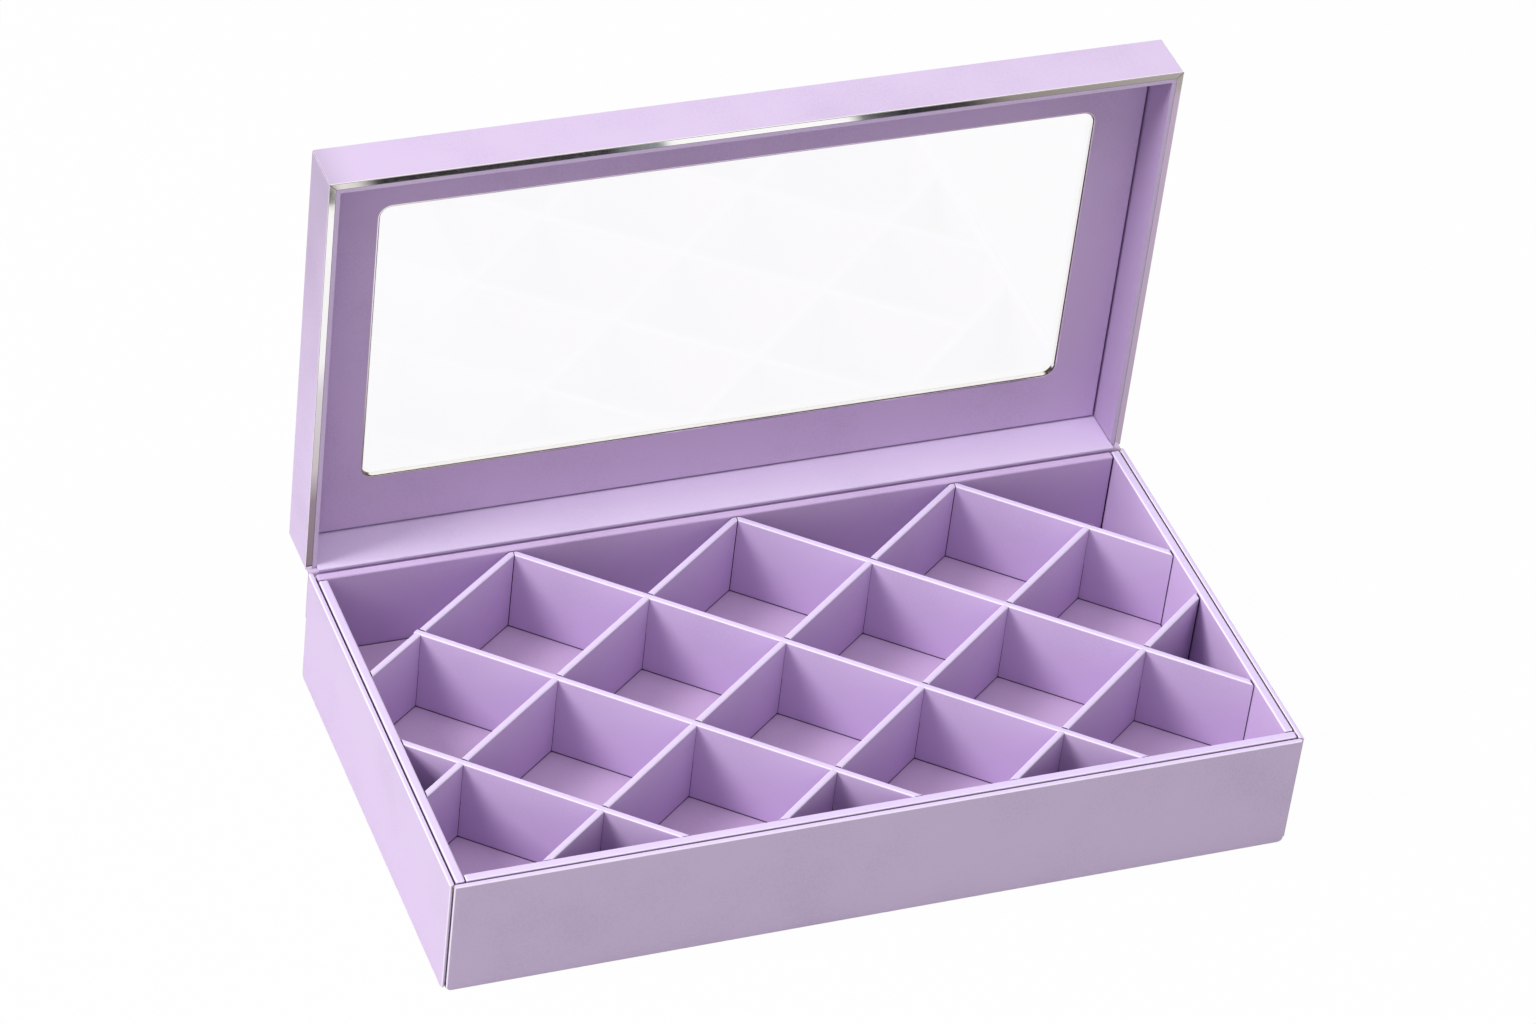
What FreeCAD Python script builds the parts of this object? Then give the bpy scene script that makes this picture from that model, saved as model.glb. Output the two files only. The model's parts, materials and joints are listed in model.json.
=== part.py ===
import FreeCAD, Part

import math
import os

# A chocolate box: paper-wrapped boards, a raised floor, a lift-out diagonal divider grid and
# a windowed lid on a hinge strip along the back. All sizes are millimetres.
# X runs along the front, Y towards the back and Z up, from the centre of the underside.
# The lid is drawn shut and then swung up about the hinge line, so the box stands open.

Vector = FreeCAD.Vector

# Base walls
box_width = 220.0
box_depth = 118.0
base_height = 33.5
wall_thickness = 1.2
bottom_thickness = 2.0
corner_seam = 0.45       # gap across each mitred corner
foot_radius = 1.1        # lower corner of a wrapped panel, seen square on
wrap_radius = 0.4        # paper turned over a board's edge
inner_wrap_radius = 0.3  # the same on the wall's inner edge

# Liner, whose boards each butt against the next one and stand a little proud of the walls
liner_seam = 0.45        # open joint between the wall and the liner
liner_joint = 0.25       # open joint between two liner boards
liner_thickness = 2.3
liner_rise = 0.2
rim_radius = 0.5

# Raised floor on its risers
riser_height = 6.1
riser_width = 9.0
floor_thickness = 1.8
floor_clearance = 0.35

# Divider grid: A strips run from front left to back right, B strips from back left to front right
divider_thickness = 1.7
divider_drop = 0.4       # liner rim down to the top of the grid
divider_clearance = 0.3  # strip ends to the liner
divider_edge_radius = 0.45
divider_end_radius = 0.6     # upper corner of a strip's end at the right
slot_clearance = 0.24
apex_seam = 0.2
nub_length = 0.2         # end that pokes out past the last crossing
column_pitch_share = 0.2804
row_pitch_share = 0.2169
a_run_share = 0.536      # of a column, how far an A strip moves along the front in one row
apex_offset_share = 0.008
a_columns = (-1, 0, 1, 2, 3)
b_columns = (1, 0, -1, -2, -3)
last_apex_column = 1     # up to this column a strip meets its partner at the back wall

# Lid tray
lid_height = 14.5
lid_wall_thickness = 2.8
lid_back_thickness = 0.9 # the wall at the hinge, which has no metal strip
lid_corner_seam = 0.02
lid_edge_radius = 0.12
lid_top_thickness = 1.8
lid_inner_thickness = 1.6
lid_inner_gap = 0.55     # seam round the inner panel
closed_gap = 0.1         # rim to rim when shut
lid_open_angle = 90.0

# Window
window_side_border = 17.0
window_front_border = 17.5   # also at the back
window_radius = 3.0
outer_window_margin = 1.2    # the outer cut stands back from the bezel
bezel_thickness = 0.55
bezel_land = 0.2         # flat left beside the bezel's round face
pane_thickness = 0.8
pane_margin = 6.0
pane_clearance = 0.2

# Metal strips along the lid's rim
trim_width = 1.7
trim_height = 0.35
trim_radius = 0.12
trim_seam = 0.12         # gap across each mitred corner

# Hinge strip, whose two leaves meet edge to edge when the lid stands upright
hinge_drop = 1.0         # rims down to the hinge line
hinge_lap = 0.7          # the lid's back wall reaches this far below the hinge line
hinge_joint = 0.3        # between the two back walls when shut
leaf_thickness = 0.6
leaf_inset = 0.4
base_leaf_height = 14.0
lid_leaf_height = 10.0
fold_clearance = 0.03

# Cuts run past the surface by this much, and edges this close count as being in one plane
overrun = 1.0
same_place = 0.001

# Angles between the sides of the tray and of the mitred ends, in degrees
quarter_turn_angle = 90.0
mitre_angle = 45.0

# Derived sizes
liner_inset = wall_thickness + liner_seam
inner_width = box_width - 2 * (liner_inset + liner_thickness)
inner_depth = box_depth - 2 * (liner_inset + liner_thickness)
liner_rim_z = base_height + liner_rise
floor_top_z = bottom_thickness + riser_height + floor_thickness
divider_top_z = liner_rim_z - divider_drop
divider_middle_z = (floor_top_z + divider_top_z) / 2
grid_width = inner_width - 2 * divider_clearance
grid_depth = inner_depth - 2 * divider_clearance
column_pitch = inner_width * column_pitch_share
row_pitch = inner_depth * row_pitch_share
a_run = -column_pitch * a_run_share
b_run = column_pitch + a_run
lid_rim_z = liner_rim_z + closed_gap
lid_top_z = lid_rim_z + lid_height
lid_inner_z = lid_top_z - lid_top_thickness - lid_inner_thickness
window_width = box_width - 2 * window_side_border
window_height = box_depth - 2 * window_front_border
bezel_radius = bezel_thickness - bezel_land
fold_radius = leaf_thickness / 2 - fold_clearance
hinge_y = box_depth / 2 + leaf_thickness / 2
hinge_z = (base_height + lid_rim_z) / 2 - hinge_drop
back_rim_z = hinge_z - hinge_lap
leaf_length = box_width - 2 * leaf_inset

# Each side of the tray: its length, the size across the box and its turn from the front
sides = {
    "front": (box_width, box_depth, 0),
    "back": (box_width, box_depth, 2 * quarter_turn_angle),
    "left": (box_depth, box_width, -quarter_turn_angle),
    "right": (box_depth, box_width, quarter_turn_angle),
}

# The lid's walls with a metal strip, each with the hand of its square end at the hinge
lid_sides = {"front": 0, "left": -1, "right": 1}


def centred_box(width, depth, height, bottom):
    """A box over the origin that stands at the given height."""
    return Part.makeBox(width, depth, height, Vector(-width / 2, -depth / 2, bottom))


def edges_where(shape, test):
    """Edges of a shape whose bounding box passes a test."""
    return [edge for edge in shape.Edges if test(edge.BoundBox)]


def rounded_block(width, depth, height, bottom, radius):
    """A centred box with its four upright edges rounded."""
    block = centred_box(width, depth, height, bottom)
    return block.makeFillet(radius, edges_where(block, lambda box: box.ZLength > same_place))


def on_side(shape, side, inset, bottom):
    """Moves a panel drawn along the front, outer face at y = 0, to its side of the tray."""
    reach, turn = sides[side][1:]
    moved = shape.copy()
    moved.translate(Vector(0, inset - reach / 2, bottom))
    moved.rotate(Vector(0, 0, 0), Vector(0, 0, 1), turn)
    return moved


def mitred_prism(length, thickness, height, seam, square_hand=0):
    """A straight board with its longer face at y = 0 and mitred ends, save a square one on one hand."""
    mitre_shift = seam / (2 * math.sin(math.radians(mitre_angle)))
    outer = {}
    inner = {}
    for hand in (-1, 1):
        if hand == square_hand:
            outer[hand] = inner[hand] = hand * length / 2
        else:
            outer[hand] = hand * (length / 2 - mitre_shift)
            inner[hand] = outer[hand] - hand * thickness
    points = [
        Vector(outer[-1], 0, 0),
        Vector(outer[1], 0, 0),
        Vector(inner[1], thickness, 0),
        Vector(inner[-1], thickness, 0),
    ]
    outline = Part.makePolygon(points + points[:1])
    return Part.Face(outline).extrude(Vector(0, 0, height))


def base_wall(side):
    """A wrapped outer wall, its outer face rounded off all round and its rim on the inside too."""
    height = back_rim_z - hinge_joint if side == "back" else base_height
    panel = mitred_prism(sides[side][0], wall_thickness, height, corner_seam)
    feet = edges_where(panel, lambda box: box.YLength > same_place and box.ZMax < same_place)
    panel = panel.makeFillet(foot_radius, feet)
    panel = panel.makeFillet(wrap_radius, edges_where(panel, lambda box: box.YMax < same_place))
    inner_y = wall_thickness - same_place
    rim_z = height - same_place
    inner_rim = edges_where(panel, lambda box: box.YMin > inner_y and box.ZMin > rim_z)
    panel = panel.makeFillet(inner_wrap_radius, inner_rim)
    return on_side(panel, side, 0, 0)


def liner(side):
    """An inner board with a rounded rim and ends, which butts against the next board on its left."""
    reach = sides[side][0] / 2 - liner_inset
    height = liner_rim_z - bottom_thickness
    start = liner_thickness + liner_joint - reach
    board = Part.makeBox(reach - start, liner_thickness, height, Vector(start, 0, 0))
    rounded = edges_where(board, lambda box: box.ZMax > height - same_place)
    return on_side(board.makeFillet(rim_radius, rounded), side, liner_inset, bottom_thickness)


def riser(side):
    """A hidden strip along one liner that carries the floor."""
    inset = liner_inset + liner_thickness
    length = sides[side][0] - 2 * inset
    if side in ("left", "right"):
        length = length - 2 * riser_width
    strip = Part.makeBox(length, riser_width, riser_height, Vector(-length / 2, 0, 0))
    return on_side(strip, side, inset, bottom_thickness)


def apex_x(column):
    """Where a strip of this column meets the back wall."""
    return inner_width * apex_offset_share + column * column_pitch


def turned(shape, run, place):
    """Turns a shape drawn along X to the slope of a strip and moves it to a place."""
    slope = math.degrees(math.atan2(-row_pitch, run))
    shape.rotate(Vector(0, 0, 0), Vector(0, 0, 1), slope)
    shape.translate(place)
    return shape


def strip_block(run, column, thickness, bottom, top, side_shift=0):
    """A long upright block on the line of a strip."""
    reach = inner_width + inner_depth
    corner = Vector(-reach, side_shift - thickness / 2, bottom)
    block = Part.makeBox(2 * reach, thickness, top - bottom, corner)
    return turned(block, run, Vector(apex_x(column), grid_depth / 2, 0))


def soften(block):
    """Rounds a strip's four long edges."""
    long_edges = edges_where(block, lambda box: box.DiagonalLength > inner_width)
    return block.makeFillet(divider_edge_radius, long_edges)


def grid_room():
    """The room that the grid stands in, its upper edge on the right rounded."""
    room = centred_box(grid_width, grid_depth, divider_top_z - floor_top_z, floor_top_z)
    top = divider_top_z - same_place
    right = grid_width / 2 - same_place
    edge = edges_where(room, lambda box: box.ZMin > top and box.XMin > right)
    return room.makeFillet(divider_end_radius, edge)


def divider_blank(run, column, partner_run):
    """A strip cut to the room that it stands in."""
    height = divider_top_z - floor_top_z
    strip = strip_block(run, column, divider_thickness, floor_top_z, divider_top_z)
    strip = soften(strip).common(grid_room())
    hand = math.copysign(1, run)
    if abs(column) <= last_apex_column:
        face_x = apex_x(column) + hand * apex_seam / 2
        corner_x = face_x if hand < 0 else face_x - box_width
        corner = Vector(corner_x, -box_depth / 2, floor_top_z)
        strip = strip.cut(Part.makeBox(box_width, box_depth, height, corner))
    elif abs(column) == last_apex_column + 1:
        shift = -hand * (divider_thickness / 2 + nub_length + box_depth / 2)
        partner = column - round(math.copysign(1, column))
        beyond = strip_block(partner_run, partner, box_depth, floor_top_z, divider_top_z, shift)
        strip = strip.cut(beyond)
    return strip


def crossings():
    """Column pairs whose strips cross inside the grid, with the place of the crossing."""
    found = []
    for a_column in a_columns:
        for b_column in b_columns:
            row = a_column - b_column
            x = apex_x(a_column) + row * a_run
            y = grid_depth / 2 - row * row_pitch
            inside_x = abs(x) < grid_width / 2 + divider_thickness
            inside_y = abs(y) < grid_depth / 2 + divider_thickness
            if row > 0 and inside_x and inside_y:
                found.append((a_column, b_column, Vector(x, y, 0)))
    return found


def slot(run, place, bottom, top):
    """The half-lap slot that takes a crossing strip, which slopes by run."""
    width = divider_thickness + slot_clearance
    length = 4 * divider_thickness
    block = Part.makeBox(length, width, top - bottom, Vector(-length / 2, -width / 2, bottom))
    return turned(block, run, place)


def dividers():
    """The ten strips: A strips are slotted from above and B strips from below."""
    a_strips = {column: divider_blank(a_run, column, b_run) for column in a_columns}
    b_strips = {column: divider_blank(b_run, column, a_run) for column in b_columns}
    for a_column, b_column, place in crossings():
        upper = slot(b_run, place, divider_middle_z, divider_top_z + overrun)
        lower = slot(a_run, place, floor_top_z - overrun, divider_middle_z)
        a_strips[a_column] = a_strips[a_column].cut(upper)
        b_strips[b_column] = b_strips[b_column].cut(lower)
    named = {}
    for number, column in enumerate(a_columns, 1):
        named["divider_a%d" % number] = a_strips[column]
    for number, column in enumerate(b_columns, 1):
        named["divider_b%d" % number] = b_strips[column]
    return named


def lid_wall(side):
    """A lid wall with a step along its rim that takes the metal strip."""
    length = sides[side][0]
    panel = mitred_prism(length, lid_wall_thickness, lid_height, lid_corner_seam, lid_sides[side])
    face_edges = edges_where(panel, lambda box: box.YMax < same_place and box.ZMax > same_place)
    panel = panel.makeFillet(lid_edge_radius, face_edges)
    corner = Vector(-length / 2 - overrun, -overrun, -overrun)
    step = Part.makeBox(length + 2 * overrun, trim_width + overrun, trim_height + overrun, corner)
    return on_side(panel.cut(step), side, 0, lid_rim_z)


def lid_back_wall():
    """The thin wall at the hinge, which stands between the side walls and laps below their rim."""
    length = box_width - 2 * (lid_wall_thickness + lid_corner_seam)
    height = lid_top_z - back_rim_z
    board = Part.makeBox(length, lid_back_thickness, height, Vector(-length / 2, 0, 0))
    inner_y = lid_back_thickness - same_place
    rim = edges_where(board, lambda box: box.YMin > inner_y and box.ZMax < same_place)
    return on_side(board.makeFillet(wrap_radius, rim), "back", 0, back_rim_z)


def rim_trim(side):
    """A metal strip with a round crown, set in the step of a lid wall."""
    strip = mitred_prism(sides[side][0], trim_width, trim_height, trim_seam, lid_sides[side])
    crown = edges_where(strip, lambda box: box.ZMax < same_place and box.YLength < same_place)
    return on_side(strip.makeFillet(trim_radius, crown), side, 0, lid_rim_z)


def lid_panel(inset, thickness, bottom):
    """A board that fills the lid between its walls, drawn in by an inset all round."""
    width = box_width - 2 * (lid_wall_thickness + inset)
    depth = box_depth - lid_wall_thickness - lid_back_thickness - 2 * inset
    panel = centred_box(width, depth, thickness, bottom)
    panel.translate(Vector(0, (lid_wall_thickness - lid_back_thickness) / 2, 0))
    return panel


def window_hole(margin, height, bottom):
    """The rounded window outline, grown by a margin, as a block."""
    grown = 2 * margin
    return rounded_block(window_width + grown, window_height + grown, height, bottom, window_radius + margin)


def lid_top_panel():
    """The outer board, with the window cut through and a rebate for the pane below."""
    bottom = lid_top_z - lid_top_thickness
    panel = lid_panel(0, lid_top_thickness, bottom)
    outer_margin = bezel_thickness + outer_window_margin
    panel = panel.cut(window_hole(outer_margin, lid_top_thickness + 2 * overrun, bottom - overrun))
    return panel.cut(window_hole(pane_margin, pane_thickness + overrun, bottom - overrun))


def lid_inner_panel():
    """The frame board that closes the pane in, seen inside the lid."""
    panel = lid_panel(lid_inner_gap, lid_inner_thickness, lid_inner_z)
    rim = edges_where(panel, lambda box: box.ZMax < lid_inner_z + same_place)
    panel = panel.makeFillet(wrap_radius, rim)
    return panel.cut(window_hole(bezel_thickness, lid_inner_thickness + 2 * overrun, lid_inner_z - overrun))


def window_pane():
    """The clear sheet in the rebate of the outer board."""
    return window_hole(pane_margin - pane_clearance, pane_thickness, lid_top_z - lid_top_thickness)


def window_bezel():
    """The metal lining of the inner cut, with a round face towards the window."""
    opening = window_hole(0, lid_inner_thickness + 2 * overrun, lid_inner_z - overrun)
    ring = window_hole(bezel_thickness, lid_inner_thickness, lid_inner_z).cut(opening)
    half_width = window_width / 2 + same_place
    half_height = window_height / 2 + same_place

    def round_the_window(box):
        is_level = box.ZLength < same_place
        inside_x = max(box.XMax, -box.XMin) < half_width
        inside_y = max(box.YMax, -box.YMin) < half_height
        return is_level and inside_x and inside_y

    return ring.makeFillet(bezel_radius, edges_where(ring, round_the_window))


def hinge_leaf(bottom, height):
    """One half of the hinge strip, glued to the back of the tray."""
    return Part.makeBox(leaf_length, leaf_thickness, height, Vector(-leaf_length / 2, box_depth / 2, bottom))


def swing_open(shape):
    """Turns a lid piece from shut to open about the hinge line."""
    opened = shape.copy()
    opened.rotate(Vector(0, hinge_y, hinge_z), Vector(1, 0, 0), -lid_open_angle)
    return opened


parts = {}

# Base
bottom_width = box_width - 2 * wall_thickness
bottom_depth = box_depth - 2 * wall_thickness
parts["base_bottom_board"] = centred_box(bottom_width, bottom_depth, bottom_thickness, 0)
for side in sides:
    parts["base_%s_wall" % side] = base_wall(side)
    parts["liner_%s" % side] = liner(side)
    parts["riser_%s" % side] = riser(side)
middle_length = inner_depth - 2 * riser_width
parts["riser_middle"] = centred_box(riser_width, middle_length, riser_height, bottom_thickness)
floor_width = inner_width - 2 * floor_clearance
floor_depth = inner_depth - 2 * floor_clearance
floor_bottom_z = floor_top_z - floor_thickness
parts["inner_floor_panel"] = centred_box(floor_width, floor_depth, floor_thickness, floor_bottom_z)

# Divider grid
parts.update(dividers())

# Hinge strip: two leaves and the fold that lies on the hinge line
base_leaf_top = hinge_z - leaf_thickness / 2
lid_leaf_bottom = hinge_z + leaf_thickness / 2 + fold_clearance
parts["hinge_base_leaf"] = hinge_leaf(base_leaf_top - base_leaf_height, base_leaf_height)
fold_start = Vector(-leaf_length / 2, hinge_y, hinge_z)
parts["hinge_fold"] = Part.makeCylinder(fold_radius, leaf_length, fold_start, Vector(1, 0, 0))

# Lid
lid_parts = {
    "lid_top_panel": lid_top_panel(),
    "lid_inner_panel": lid_inner_panel(),
    "window_pane": window_pane(),
    "window_bezel": window_bezel(),
    "hinge_lid_leaf": hinge_leaf(lid_leaf_bottom, lid_leaf_height),
    "lid_back_wall": lid_back_wall(),
}
for side in lid_sides:
    lid_parts["lid_%s_wall" % side] = lid_wall(side)
    lid_parts["rim_trim_%s" % side] = rim_trim(side)
for name, shape in lid_parts.items():
    parts[name] = swing_open(shape)

os.makedirs("parts", exist_ok=True)
for name, shape in sorted(parts.items()):
    shape.exportStep("parts/%s.step" % name)
    print("%-20s valid %s, solids %d, volume %.1f" % (name, shape.isValid(), len(shape.Solids), shape.Volume))
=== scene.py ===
import json
import math

import bmesh
import bpy
from mathutils import Matrix, Quaternion, Vector


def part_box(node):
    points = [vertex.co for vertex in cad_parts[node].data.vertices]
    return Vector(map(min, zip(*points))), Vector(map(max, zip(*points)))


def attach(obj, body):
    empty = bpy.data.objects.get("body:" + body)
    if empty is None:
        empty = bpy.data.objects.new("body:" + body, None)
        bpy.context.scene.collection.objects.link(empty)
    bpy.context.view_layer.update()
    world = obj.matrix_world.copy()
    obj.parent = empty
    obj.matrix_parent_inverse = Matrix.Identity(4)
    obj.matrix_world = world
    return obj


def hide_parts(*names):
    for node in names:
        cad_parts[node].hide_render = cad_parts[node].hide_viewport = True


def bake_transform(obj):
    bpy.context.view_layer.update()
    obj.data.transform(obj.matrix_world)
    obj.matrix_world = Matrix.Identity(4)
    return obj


# An open chocolate box in lavender paper: the looks of its boards, metal strips, clear sheet
# and hinge strip. Everything is in metres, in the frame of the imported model.

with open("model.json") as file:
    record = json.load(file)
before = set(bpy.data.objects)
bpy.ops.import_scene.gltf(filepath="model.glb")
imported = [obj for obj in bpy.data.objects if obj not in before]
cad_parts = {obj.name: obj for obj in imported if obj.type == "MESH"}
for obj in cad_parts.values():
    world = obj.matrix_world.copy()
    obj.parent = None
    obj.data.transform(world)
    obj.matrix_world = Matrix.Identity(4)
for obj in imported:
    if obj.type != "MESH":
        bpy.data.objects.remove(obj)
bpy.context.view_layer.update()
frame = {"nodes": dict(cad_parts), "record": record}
nodes = frame["nodes"]
mm = 0.001
white = (1.0, 1.0, 1.0)

# Camera, with its lens and sensor in millimetres
camera_azimuth = math.radians(24.5)
camera_elevation = math.radians(39.0)
camera_roll = math.radians(7.2)
camera_distance = 1.4416
camera_target = Vector((-0.0087, 0.0132, 0.0704))
camera_lens = 138.8
camera_sensor = 36.0

# Light: the direction towards each lamp, its distance, the length of its side and its power in watts
world_strength = 0.375
lamp_aim = Vector((0.0, 0.0, 0.05))
lamps = {
    "key": (Vector((-1.0, -0.04, 0.82)), 4.0, 1.5, 117.0),
    "top": (Vector((0.0, -0.15, 1.0)), 1.3, 0.8, 4.6),
    "front": (Vector((0.0, -1.0, 0.2)), 1.3, 1.0, 0.80),
}

# Floor
floor_size = 6.0
floor_drop = 0.02 * mm
floor_shade = (0.6, 0.6, 0.6)
floor_glow_share = 0.98

# Glowing cards, seen only in reflections, whose shades paint the metal strips' reflections: two on the floor
# and one over the left cells; their lift, x and y limits, and shades with the share of the card's length
# where each lies
card_lift = 0.5 * mm
front_card_x = (-0.06, 0.22)
front_card_y = (-0.155, -0.125)
front_card_shades = [(0.0, (0.10, 0.09, 0.09)), (0.055, (0.12, 0.11, 0.11)), (0.066, (0.80, 0.77, 0.74)),
                     (0.085, (0.72, 0.69, 0.66)), (0.105, (0.025, 0.02, 0.025)),
                     (0.35, (0.035, 0.032, 0.035)), (0.37, (0.17, 0.19, 0.19)), (0.405, (0.24, 0.27, 0.27)),
                     (0.415, white), (0.61, white), (0.625, (0.12, 0.13, 0.13)), (0.67, (0.025, 0.025, 0.03)),
                     (0.74, (0.05, 0.045, 0.045)), (0.79, (0.28, 0.25, 0.23)), (1.0, (0.42, 0.38, 0.36))]
right_card_x = (0.114, 0.235)
right_card_y = (-0.125, 0.058)
right_card_shades = [(0.0, (0.44, 0.34, 0.47)), (1.0, (0.54, 0.43, 0.57))]
left_card_lift = 0.3 * mm
left_card_x = (-0.1115, -0.035)
left_card_y = (-0.058, 0.0603)
left_card_shades = [(0.0, (0.98, 0.97, 0.98)), (0.35, (0.95, 0.93, 0.96)), (0.45, (0.72, 0.68, 0.72)),
                    (0.70, (0.60, 0.54, 0.58)), (0.80, (0.30, 0.23, 0.29)), (1.0, (0.26, 0.19, 0.24))]

# Screen that holds back some of the key's light from the upper end of the open lid's left side
screen_lift = 9 * mm
screen_x = (-0.245, -0.119)
screen_y = (0.055, 0.120)
screen_shades = [(0.0, white), (0.35, (0.73, 0.73, 0.73)), (0.7, (0.52, 0.52, 0.52)),
                 (1.0, (0.40, 0.40, 0.40))]

# Paper: the dark and the light tone of each kind, and its grain
outer_tones = ((0.645, 0.516, 0.740), (0.715, 0.578, 0.812))
lining_tones = ((0.622, 0.461, 0.735), (0.695, 0.521, 0.815))
divider_tones = ((0.666, 0.512, 0.786), (0.740, 0.576, 0.867))
# darker copy of the lining tones: painted shade on the lid's inner panel
panel_painted_shade_tones = ((0.584, 0.437, 0.678), (0.651, 0.492, 0.749))
# darker copy of the lining tones: painted shade on the floor down in the cells
floor_painted_shade_tones = ((0.550, 0.400, 0.612), (0.614, 0.455, 0.676))
# lighter copy of the paper: painted light on the lid's back ledge
ledge_painted_light_tones = ((0.770, 0.640, 0.900), (0.830, 0.690, 0.955))
# lining colour, darkened as painted shade, for the lid walls' inward faces
lid_lining_painted_shade = (0.545, 0.400, 0.650)
lined_lean = (0.5, 0.9)  # inward part of the normal where the lining starts and is full
cloud_size = 28 * mm
cloud_detail = 3.0
grain_size = 0.35 * mm
grain_detail = 4.0
grain_depth = 0.05 * mm
paper_tone_places = (0.7, 1.0)  # sum of clouds and grain where the dark and the light tone lie
paper_relief = 0.12
paper_roughness = 0.72
paper_gloss = 0.2

# Painted highlights on folded rims and rounded edges
rim_painted_highlight_colour = (0.770, 0.635, 0.930)
edge_painted_highlight_colour = (0.940, 0.865, 0.985)
fold_depth = 0.35 * mm
fold_softness = 0.15 * mm
rim_edge_highlight_lean = (0.97, 0.80)  # upward part of the normal where the rim's painted highlight starts and is full
edge_colour_lean = (0.985, 0.88)  # largest part of the normal where an edge's colour starts and is full

# Painted shade in the colour where other surfaces close one in, along seams and down in hollows: its reach,
# the openness where it is full and where it ends, and its colour
seam_reach = 0.65 * mm
seam_openness = (0.40, 0.70)
lid_seam_painted_shade = (seam_reach, seam_openness, (0.020, 0.008, 0.032))
base_seam_painted_shade = (seam_reach, seam_openness, (0.070, 0.035, 0.100))
hollow_reach = 45 * mm
board_hollow_painted_shade = (hollow_reach, (0.0, 0.60), (0.575, 0.420, 0.690))
floor_hollow_painted_shade = (hollow_reach, (0.0, 0.38), (0.440, 0.312, 0.530))
openness_samples = 8

# Greyboard
board_tones = ((0.30, 0.22, 0.13), (0.66, 0.54, 0.37))
board_tone_places = (0.3, 0.7)
fleck_detail = 6.0
board_relief = 0.5
board_roughness = 0.9

# Hinge cloth
thread_pitch = 0.45 * mm
cloth_tone_places = (0.0, 0.8)
cloth_relief = 0.4
cloth_roughness = 0.85
cloth_sheen = 0.15

# Metal and clear sheet: their colours, limits of roughness, and marks to the metre
strip_metal = (0.96, 0.95, 0.94)
strip_roughness = (0.03, 0.07)
bezel_metal = (0.93, 0.91, 0.88)
bezel_roughness = (0.08, 0.16)
# painted dark reflection along the metal's rounded edges
edge_painted_reflection_dark = (0.075, 0.055, 0.045)
rub_scale = 900.0
sheet_tint = (0.99, 0.985, 0.995)
sheet_roughness = (0.02, 0.05)
sheet_ior = 1.3
haze_scale = 40.0
mark_detail = 2.0

# Hinge strip
strip_thickness = 0.5 * mm
strip_bend_radius = 0.5 * mm
strip_bend_steps = 8
strip_run_steps = 14
strip_width_steps = 40

# Bare board at the base's corner joints
chip_height = 1.3 * mm
chip_length = 0.85 * mm
chip_thickness = 0.26 * mm
chip_drop = 0.12 * mm
chip_inset = 0.95 * mm
chip_round = 0.06 * mm
chip_round_steps = 2


def set_inputs(tree, node, inputs):
    """Sets a node's inputs to values or colours, or links them to other nodes' sockets."""
    for name, value in inputs.items():
        socket = node.inputs[name]
        if isinstance(value, bpy.types.NodeSocket):
            tree.links.new(value, socket)
        elif socket.type == "RGBA":
            socket.default_value = (*value, 1.0)
        else:
            socket.default_value = value


def add_node(tree, kind, inputs=None, **settings):
    """A shader node with its settings and inputs."""
    made = tree.nodes.new(kind)
    for name, value in settings.items():
        setattr(made, name, value)
    set_inputs(tree, made, inputs or {})
    return made


def new_material(name):
    """A material with its Principled shader and its texture place."""
    material = bpy.data.materials.new(name)
    material.use_nodes = True
    tree = material.node_tree
    shader = tree.nodes["Principled BSDF"]
    place = add_node(tree, "ShaderNodeTexCoord").outputs["Object"]
    return material, tree, shader, place


def surface_normal(tree):
    """The surface's normal in the piece's own axes."""
    return add_node(tree, "ShaderNodeTexCoord").outputs["Normal"]


def parts_of(tree, vector):
    """The X, Y and Z parts of a vector."""
    return add_node(tree, "ShaderNodeSeparateXYZ", {"Vector": vector}).outputs


def combined(tree, operation, first, second):
    """The sum, product or maximum of two numbers."""
    return add_node(tree, "ShaderNodeMath", {0: first, 1: second}, operation=operation).outputs[0]


def noise(tree, place, scale, detail):
    """A number that varies from place to place."""
    texture = add_node(tree, "ShaderNodeTexNoise", {"Vector": place, "Scale": scale, "Detail": detail})
    return texture.outputs["Fac"]


def bumped(tree, height, strength):
    """A normal that follows a height, at most as deep as the paper's grain."""
    bump = add_node(tree, "ShaderNodeBump", {"Height": height, "Strength": strength, "Distance": grain_depth})
    return bump.outputs["Normal"]


def colour_ramp(tree, factor, stops):
    """A colour that runs through the stops, given as (place, colour)."""
    ramp = add_node(tree, "ShaderNodeValToRGB", {"Fac": factor})
    elements = ramp.color_ramp.elements
    while len(elements) < len(stops):
        elements.new(0)
    for element, (position, colour) in zip(elements, stops):
        element.position = position
        element.color = (*colour, 1.0)
    return ramp.outputs["Color"]


def share_between(tree, value, low, high):
    """A share that runs from 0 to 1 as a value goes from low to high."""
    limits = {"Value": value, "From Min": low, "From Max": high}
    return add_node(tree, "ShaderNodeMapRange", limits, interpolation_type="SMOOTHSTEP").outputs["Result"]


def mixed_colour(tree, share, first, second):
    """A colour between two others."""
    mix = add_node(tree, "ShaderNodeMix", data_type="RGBA")
    ends = [number for number, socket in enumerate(mix.inputs) if socket.type == "RGBA"]
    set_inputs(tree, mix, {"Factor": share, ends[0]: first, ends[1]: second})
    return next(socket for socket in mix.outputs if socket.type == "RGBA")


def mixed_shader(tree, share, first, second):
    """A shader between two others."""
    inputs = {0: share, 1: first.outputs[0], 2: second.outputs[0]}
    return add_node(tree, "ShaderNodeMixShader", inputs).outputs[0]


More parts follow.
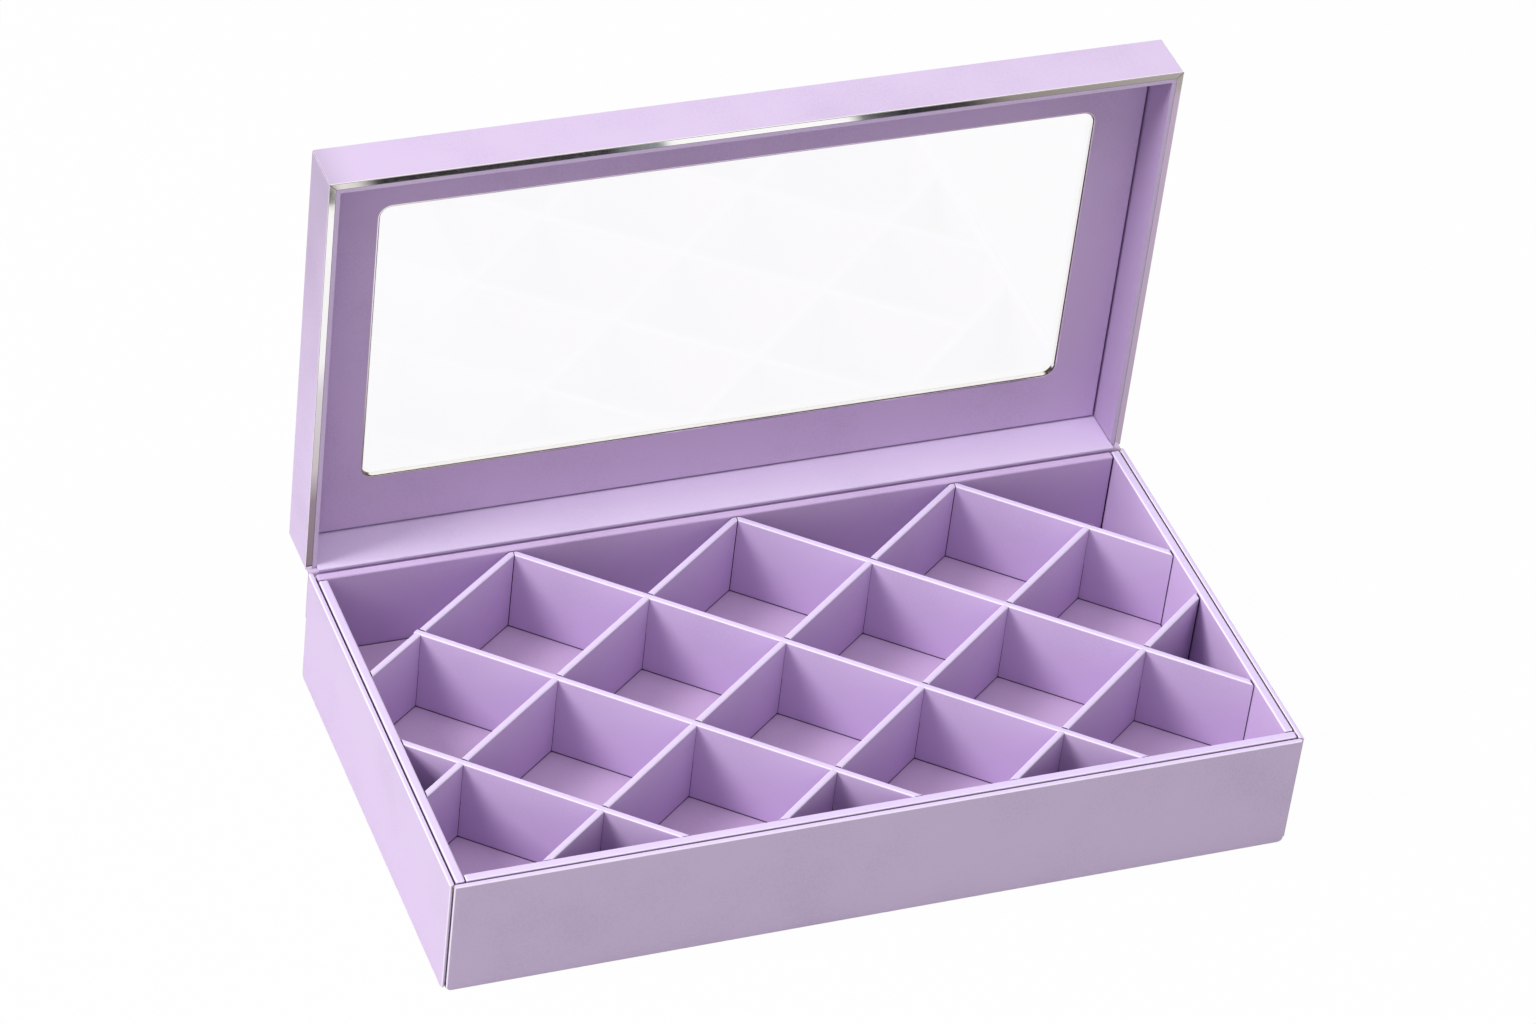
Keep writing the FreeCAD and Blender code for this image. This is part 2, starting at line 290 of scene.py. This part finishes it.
def rim_painted_highlight(tree, place, colour, rim_z):
    """Paints a highlight into a colour on the rim, where the paper is pulled over the board, most along its
    edges.
    """
    lean = parts_of(tree, surface_normal(tree))["Z"]
    rim_highlight = mixed_colour(tree, share_between(tree, lean, *rim_edge_highlight_lean), rim_painted_highlight_colour, edge_painted_highlight_colour)
    height = parts_of(tree, place)["Z"]
    low = rim_z - fold_depth
    return mixed_colour(tree, share_between(tree, height, low, low + fold_softness), colour, rim_highlight)


def along_edges(tree, colour, edge_colour):
    """Changes a colour along the rounded edges of a piece that lies square in the frame."""
    size = add_node(tree, "ShaderNodeVectorMath", {0: surface_normal(tree)}, operation="ABSOLUTE")
    parts = parts_of(tree, size.outputs["Vector"])
    largest = parts["X"]
    for axis in ("Y", "Z"):
        largest = combined(tree, "MAXIMUM", largest, parts[axis])
    return mixed_colour(tree, share_between(tree, largest, *edge_colour_lean), colour, edge_colour)


def lining_with_painted_shade(tree, colour, inward):
    """Changes a wall's colour to a lining colour, darkened as painted shade, where it faces inwards."""
    inputs = {0: surface_normal(tree), 1: inward}
    facing = add_node(tree, "ShaderNodeVectorMath", inputs, operation="DOT_PRODUCT").outputs["Value"]
    share = share_between(tree, facing, *lined_lean)
    return mixed_colour(tree, share, colour, lid_lining_painted_shade)


def painted_closed_in_shade(tree, colour, reach, openness_limits, shade):
    """Paints shade into a colour where surfaces within reach close it in."""
    openness = add_node(tree, "ShaderNodeAmbientOcclusion", {"Distance": reach}, samples=openness_samples)
    share = share_between(tree, openness.outputs["AO"], *openness_limits)
    return mixed_colour(tree, share, shade, colour)


def paper(name, tones, rim_z=None, has_painted_edge_highlights=False, inward=None, painted_hollow_shade=None, painted_seam_shade=lid_seam_painted_shade):
    """Matte wrapping paper with a fine grain and faint clouds, painted highlights on a folded rim or rounded
    edges, the lining's colour darkened as painted shade where it faces inwards, and painted shade in hollows
    and seams."""
    material, tree, shader, place = new_material(name)
    clouds = noise(tree, place, 1 / cloud_size, cloud_detail)
    grain = noise(tree, place, 1 / grain_size, grain_detail)
    colour = colour_ramp(tree, combined(tree, "ADD", clouds, grain), list(zip(paper_tone_places, tones)))
    # painted highlight along rounded edges
    if has_painted_edge_highlights:
        colour = along_edges(tree, colour, edge_painted_highlight_colour)
    # painted highlight on the folded rim
    if rim_z is not None:
        colour = rim_painted_highlight(tree, place, colour, rim_z)
    # lining colour darkened as painted shade on inward faces
    if inward is not None:
        colour = lining_with_painted_shade(tree, colour, inward)
    # painted shade down in hollows, where boards close the surface in
    if painted_hollow_shade is not None:
        colour = painted_closed_in_shade(tree, colour, *painted_hollow_shade)
    # painted shade along seams between pieces
    colour = painted_closed_in_shade(tree, colour, *painted_seam_shade)
    set_inputs(tree, shader, {"Base Color": colour, "Roughness": paper_roughness,
                              "Specular IOR Level": paper_gloss, "Normal": bumped(tree, grain, paper_relief)})
    return material


def raw_board(name):
    """Unwrapped greyboard with flecks of fibre."""
    material, tree, shader, place = new_material(name)
    flecks = noise(tree, place, 1 / grain_size, fleck_detail)
    colour = colour_ramp(tree, flecks, list(zip(board_tone_places, board_tones)))
    set_inputs(tree, shader, {"Base Color": colour, "Roughness": board_roughness,
                              "Normal": bumped(tree, flecks, board_relief)})
    return material


def book_cloth(name, tones):
    """Woven hinge cloth, from two sets of threads that cross."""
    material, tree, shader, place = new_material(name)
    threads = []
    for direction in ("X", "DIAGONAL"):
        wave = add_node(tree, "ShaderNodeTexWave", {"Vector": place, "Scale": 1 / thread_pitch},
                        bands_direction=direction)
        threads.append(wave.outputs["Fac"])
    weave = combined(tree, "MULTIPLY", *threads)
    colour = colour_ramp(tree, weave, list(zip(cloth_tone_places, tones)))
    set_inputs(tree, shader, {"Base Color": colour, "Roughness": cloth_roughness,
                              "Sheen Weight": cloth_sheen, "Normal": bumped(tree, weave, cloth_relief)})
    return material


def marked_roughness(tree, place, scale, limits):
    """A roughness that varies between its limits in faint marks."""
    marks = noise(tree, place, scale, mark_detail)
    inputs = {"Value": marks, "To Min": limits[0], "To Max": limits[1]}
    return add_node(tree, "ShaderNodeMapRange", inputs).outputs["Result"]


def bright_metal(name, colour, roughness):
    """Polished strip metal with faint rubbing marks and a painted dark reflection where an edge is rounded.
    """
    material, tree, shader, place = new_material(name)
    set_inputs(tree, shader, {"Base Color": along_edges(tree, colour, edge_painted_reflection_dark), "Metallic": 1.0,
                              "Roughness": marked_roughness(tree, place, rub_scale, roughness)})
    return material


def clear_sheet(name):
    """The clear window sheet, with a faint haze."""
    material, tree, shader, place = new_material(name)
    set_inputs(tree, shader, {"Base Color": sheet_tint, "Transmission Weight": 1.0, "IOR": sheet_ior,
                              "Roughness": marked_roughness(tree, place, haze_scale, sheet_roughness)})
    return material


def top_of(node):
    """The height of a node's highest point."""
    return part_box(node)[1][2]


# Materials by slot, and those of single nodes or of nodes whose names start alike, where the last
# one that fits is used
materials = {
    "outer_paper": paper("outer_paper", outer_tones, has_painted_edge_highlights=True),
    "lining_paper": paper("lining_paper", panel_painted_shade_tones),
    "divider_paper": paper("divider_paper", divider_tones, rim_z=top_of("divider_a1"),
                           painted_hollow_shade=board_hollow_painted_shade, painted_seam_shade=base_seam_painted_shade),
    "grey_board": raw_board("grey_board"),
    "hinge_cloth": book_cloth("hinge_cloth", outer_tones),
    "bright_metal": bright_metal("bright_metal", strip_metal, strip_roughness),
    "clear_sheet": clear_sheet("clear_sheet"),
}
node_materials = {
    "window_bezel": bright_metal("bezel_metal", bezel_metal, bezel_roughness),
    "lid_back_wall": paper("ledge_painted_light_paper", ledge_painted_light_tones),
    "inner_floor_panel": paper("floor_paper", floor_painted_shade_tones, painted_hollow_shade=floor_hollow_painted_shade, painted_seam_shade=base_seam_painted_shade),
    "base_": paper("wall_paper", outer_tones, rim_z=top_of("base_front_wall"), has_painted_edge_highlights=True,
                   painted_seam_shade=base_seam_painted_shade),
    "liner_": paper("liner_paper", lining_tones, rim_z=top_of("liner_front"),
                    painted_hollow_shade=board_hollow_painted_shade, painted_seam_shade=base_seam_painted_shade),
    "liner_back": paper("liner_back_paper", lining_tones, painted_hollow_shade=board_hollow_painted_shade, painted_seam_shade=base_seam_painted_shade),
}
inward_ways = {
    "lid_left_wall": (1.0, 0.0, 0.0),
    "lid_right_wall": (-1.0, 0.0, 0.0),
    "lid_front_wall": (0.0, 0.0, -1.0),
}
for wall, inward in inward_ways.items():
    node_materials[wall] = paper(wall + "_paper", outer_tones, has_painted_edge_highlights=True, inward=inward)
for subpart in frame["record"]["subparts"]:
    piece = nodes[subpart["node"]]
    material = materials[subpart["material_slot"]]
    for start, node_material in node_materials.items():
        if subpart["node"].startswith(start):
            material = node_material
    piece.data.materials.clear()
    piece.data.materials.append(material)


def new_object(name, data):
    """An object of the scene that holds a mesh, a lamp or a camera."""
    made = bpy.data.objects.new(name, data)
    bpy.context.scene.collection.objects.link(made)
    return made


def new_piece(name, shape, slot):
    """A piece from a bmesh, with the material of a slot."""
    mesh = bpy.data.meshes.new(name)
    shape.to_mesh(mesh)
    shape.free()
    piece = new_object(name, mesh)
    mesh.materials.append(materials[slot])
    return piece


def strip_line(low, bend, high):
    """The hinge strip's middle line as (y, z) points with their normals: up the base, round the
    fold and out under the lid."""
    line = []
    for step in range(strip_run_steps):
        z = low + (bend.z - strip_bend_radius - low) * step / strip_run_steps
        line.append((bend.y, z, Vector((0, 1, 0))))
    centre_y = bend.y + strip_bend_radius
    centre_z = bend.z - strip_bend_radius
    for step in range(strip_bend_steps + 1):
        angle = math.pi / 2 * step / strip_bend_steps
        inward = Vector((0, math.cos(angle), -math.sin(angle)))
        y = centre_y - strip_bend_radius * inward.y
        z = centre_z - strip_bend_radius * inward.z
        line.append((y, z, inward))
    for step in range(1, strip_run_steps + 1):
        y = centre_y + (high - centre_y) * step / strip_run_steps
        line.append((y, bend.z, Vector((0, 0, -1))))
    return line


def hinge_strip():
    """One cloth strip glued to the backs of the base and the lid, folded along the hinge line."""
    base_low, base_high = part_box("hinge_base_leaf")
    lid_low, lid_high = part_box("hinge_lid_leaf")
    bend = Vector((0, (base_low[1] + base_high[1]) / 2, (lid_low[2] + lid_high[2]) / 2))
    line = strip_line(base_low[2], bend, lid_high[1])
    half = strip_thickness / 2
    sides = []
    for hand in (-1, 1):
        sides.append([(y + hand * half * normal.y, z + hand * half * normal.z) for y, z, normal in line])
    outline = sides[0] + sides[1][::-1]
    shape = bmesh.new()
    width = base_high[0] - base_low[0]
    rings = []
    for step in range(strip_width_steps + 1):
        x = base_low[0] + width * step / strip_width_steps
        rings.append([shape.verts.new((x, y, z)) for y, z in outline])
    for ring, following in zip(rings, rings[1:]):
        for corner in range(len(outline)):
            after = (corner + 1) % len(outline)
            shape.faces.new((ring[corner], ring[after], following[after], following[corner]))
    # The two ends, closed by a row of faces between the strip's sides
    for ring in (rings[0], rings[-1]):
        for corner in range(len(line) - 1):
            opposite = len(outline) - 1 - corner
            shape.faces.new((ring[corner], ring[corner + 1], ring[opposite - 1], ring[opposite]))
    bmesh.ops.recalc_face_normals(shape, faces=shape.faces)
    strip = new_piece("hinge_strip", shape, "hinge_cloth")
    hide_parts("hinge_base_leaf", "hinge_fold", "hinge_lid_leaf")
    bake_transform(strip)


def board_chips():
    """Bare board that shows in the base's corner joints, just below the rim."""
    front_low, front_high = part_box("base_front_wall")
    corner_x = -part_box("base_left_wall")[0][0] - chip_inset
    corner_y = -front_low[1] - chip_inset
    corner_z = front_high[2] - chip_drop - chip_height / 2
    for hand_x, name_x in ((-1, "left"), (1, "right")):
        for hand_y, name_y in ((-1, "front"), (1, "back")):
            shape = bmesh.new()
            bmesh.ops.create_cube(shape, size=1.0)
            size = Matrix.Diagonal((chip_length, chip_thickness, chip_height, 1.0))
            turn = Matrix.Rotation(math.atan2(hand_y, hand_x), 4, "Z")
            place = Matrix.Translation((hand_x * corner_x, hand_y * corner_y, corner_z))
            bmesh.ops.transform(shape, matrix=place @ turn @ size, verts=shape.verts)
            bmesh.ops.bevel(shape, geom=shape.edges[:], offset=chip_round, segments=chip_round_steps,
                            affect="EDGES")
            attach(new_piece("board_chip_%s_%s" % (name_y, name_x), shape, "grey_board"), "base")


def shown_share(tree):
    """1 for rays from the camera, off a glossy surface or through the clear sheet, and 0 for others."""
    rays = add_node(tree, "ShaderNodeLightPath").outputs
    shown = rays["Is Camera Ray"]
    for name in ("Is Glossy Ray", "Is Transmission Ray"):
        shown = combined(tree, "MAXIMUM", shown, rays[name])
    return shown


def white_room():
    """A world that looks white and lights the object softly."""
    world = bpy.data.worlds.new("room")
    bpy.context.scene.world = world
    world.use_nodes = True
    tree = world.node_tree
    tree.nodes.clear()
    soft = add_node(tree, "ShaderNodeBackground", {"Color": white, "Strength": world_strength})
    bright = add_node(tree, "ShaderNodeBackground", {"Color": white, "Strength": 1.0})
    surface = mixed_shader(tree, shown_share(tree), soft, bright)
    add_node(tree, "ShaderNodeOutputWorld", {"Surface": surface})


def area_light(name, direction, distance, side, power):
    """A square soft light that points at the object."""
    lamp = bpy.data.lights.new(name, "AREA")
    lamp.size = side
    lamp.energy = power
    light = new_object(name, lamp)
    light.location = lamp_aim + direction.normalized() * distance
    light.rotation_mode = "QUATERNION"
    light.rotation_quaternion = (-direction).to_track_quat("-Z", "Y")


def level_sheet(name, x_limits, y_limits, z):
    """A flat rectangle for the stage, with an empty material."""
    corners = [(x_limits[0], y_limits[0], z), (x_limits[1], y_limits[0], z),
               (x_limits[1], y_limits[1], z), (x_limits[0], y_limits[1], z)]
    mesh = bpy.data.meshes.new(name)
    mesh.from_pydata(corners, [], [(0, 1, 2, 3)])
    sheet = new_object(name, mesh)
    material = bpy.data.materials.new(name)
    material.use_nodes = True
    material.node_tree.nodes.clear()
    mesh.materials.append(material)
    return sheet, material.node_tree


def pale_floor():
    """A floor that looks white and keeps a faint shadow."""
    half = floor_size / 2
    tree = level_sheet("floor", (-half, half), (-half, half), -floor_drop)[1]
    share = combined(tree, "MULTIPLY", shown_share(tree), floor_glow_share)
    plain = add_node(tree, "ShaderNodeBsdfDiffuse", {"Color": floor_shade})
    glow = add_node(tree, "ShaderNodeEmission", {"Color": white, "Strength": 1.0})
    add_node(tree, "ShaderNodeOutputMaterial", {"Surface": mixed_shader(tree, share, plain, glow)})


def shaded_sheet(name, x_limits, y_limits, z, axis, shades, is_screen=False):
    """A level sheet shaded along an axis: a card that is seen only in reflections, or a screen that
    only dims the light that passes it."""
    sheet, tree = level_sheet(name, x_limits, y_limits, z)
    place = add_node(tree, "ShaderNodeTexCoord").outputs["Generated"]
    colour = colour_ramp(tree, parts_of(tree, place)[axis], shades)
    kind = "ShaderNodeBsdfTransparent" if is_screen else "ShaderNodeEmission"
    shader = add_node(tree, kind, {"Color": colour})
    add_node(tree, "ShaderNodeOutputMaterial", {"Surface": shader.outputs[0]})
    sheet.visible_camera = False
    sheet.visible_diffuse = False
    sheet.visible_transmission = False
    sheet.visible_glossy = not is_screen
    sheet.visible_shadow = is_screen


def cards_and_screen():
    """The cards that the metal reflects and the screen beside the open lid."""
    shaded_sheet("front_card", front_card_x, front_card_y, card_lift, "X", front_card_shades)
    shaded_sheet("right_card", right_card_x, right_card_y, card_lift, "X", right_card_shades)
    left_card_z = top_of("liner_left") + left_card_lift
    shaded_sheet("left_card", left_card_x, left_card_y, left_card_z, "Y", left_card_shades)
    screen_z = top_of("lid_front_wall") + screen_lift
    shaded_sheet("light_screen", screen_x, screen_y, screen_z, "X", screen_shades, is_screen=True)


def photo_camera():
    """The camera at the photograph's viewing angle."""
    camera = new_object("camera", bpy.data.cameras.new("camera"))
    camera.data.lens = camera_lens
    camera.data.sensor_width = camera_sensor
    level = math.cos(camera_elevation)
    back = Vector((-math.sin(camera_azimuth) * level, -math.cos(camera_azimuth) * level,
                   math.sin(camera_elevation)))
    camera.location = camera_target + back * camera_distance
    camera.rotation_mode = "QUATERNION"
    turn = Quaternion((0, 0, 1), camera_roll)
    camera.rotation_quaternion = (-back).to_track_quat("-Z", "Y") @ turn
    bpy.context.scene.camera = camera


hinge_strip()
board_chips()
white_room()
for lamp_name, lamp_values in lamps.items():
    area_light(lamp_name, *lamp_values)
pale_floor()
cards_and_screen()
photo_camera()
bpy.context.scene.view_settings.view_transform = "Standard"
